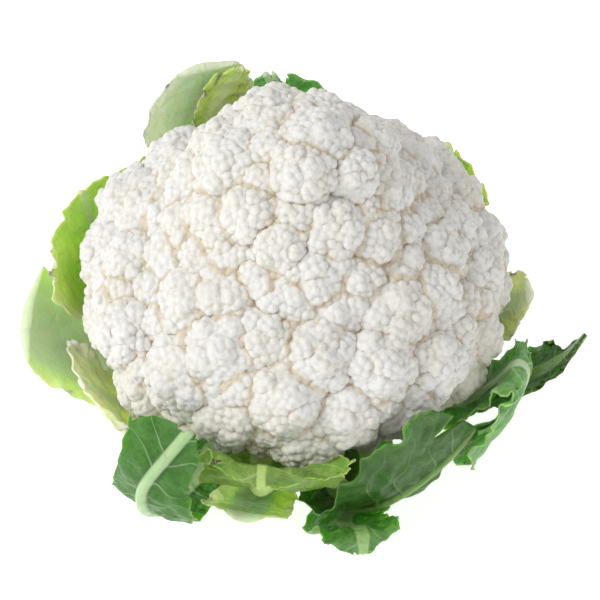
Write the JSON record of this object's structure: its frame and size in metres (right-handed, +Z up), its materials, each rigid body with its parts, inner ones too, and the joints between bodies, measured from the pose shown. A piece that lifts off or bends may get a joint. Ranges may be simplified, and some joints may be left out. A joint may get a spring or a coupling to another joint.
{
  "type": "cauliflower",
  "caption": "Trimmed fresh cauliflower head: a domed white curd of crowded florets on a short cut stalk, in a loose rosette of broken and cut green leaves.",
  "frame": {"origin": "centre of the flat cut face at the foot of the stalk", "axes": "+Z up through the crown of the curd; -Y towards the picture's viewer; +X to the picture's right"},
  "size_m": [0.2238, 0.2019, 0.1469],
  "materials": {
    "curd": "matt, slightly waxy",
    "stalk": "matt, fibrous cut face",
    "leaf_pale": "satin, waxy bloom",
    "leaf_light": "satin",
    "leaf_dark": "satin"
  },
  "bodies": {
    "root": {"curd": "curd", "stalk": "stalk", "leaf_left_outer": "leaf_pale", "leaf_back_left_outer": "leaf_pale", "leaf_right": "leaf_pale", "leaf_front_outer": "leaf_pale", "leaf_left_front": "leaf_light", "leaf_upper_left": "leaf_light", "leaf_back_left_inner": "leaf_light", "leaf_right_upper": "leaf_light", "leaf_right_front": "leaf_light", "leaf_front": "leaf_light", "leaf_front_left": "leaf_light", "leaf_back": "leaf_dark", "leaf_back_right": "leaf_dark", "leaf_right_back": "leaf_dark", "leaf_far_right": "leaf_dark", "leaf_front_right": "leaf_dark", "leaf_front_tip": "leaf_dark"}
  },
  "joints": []
}
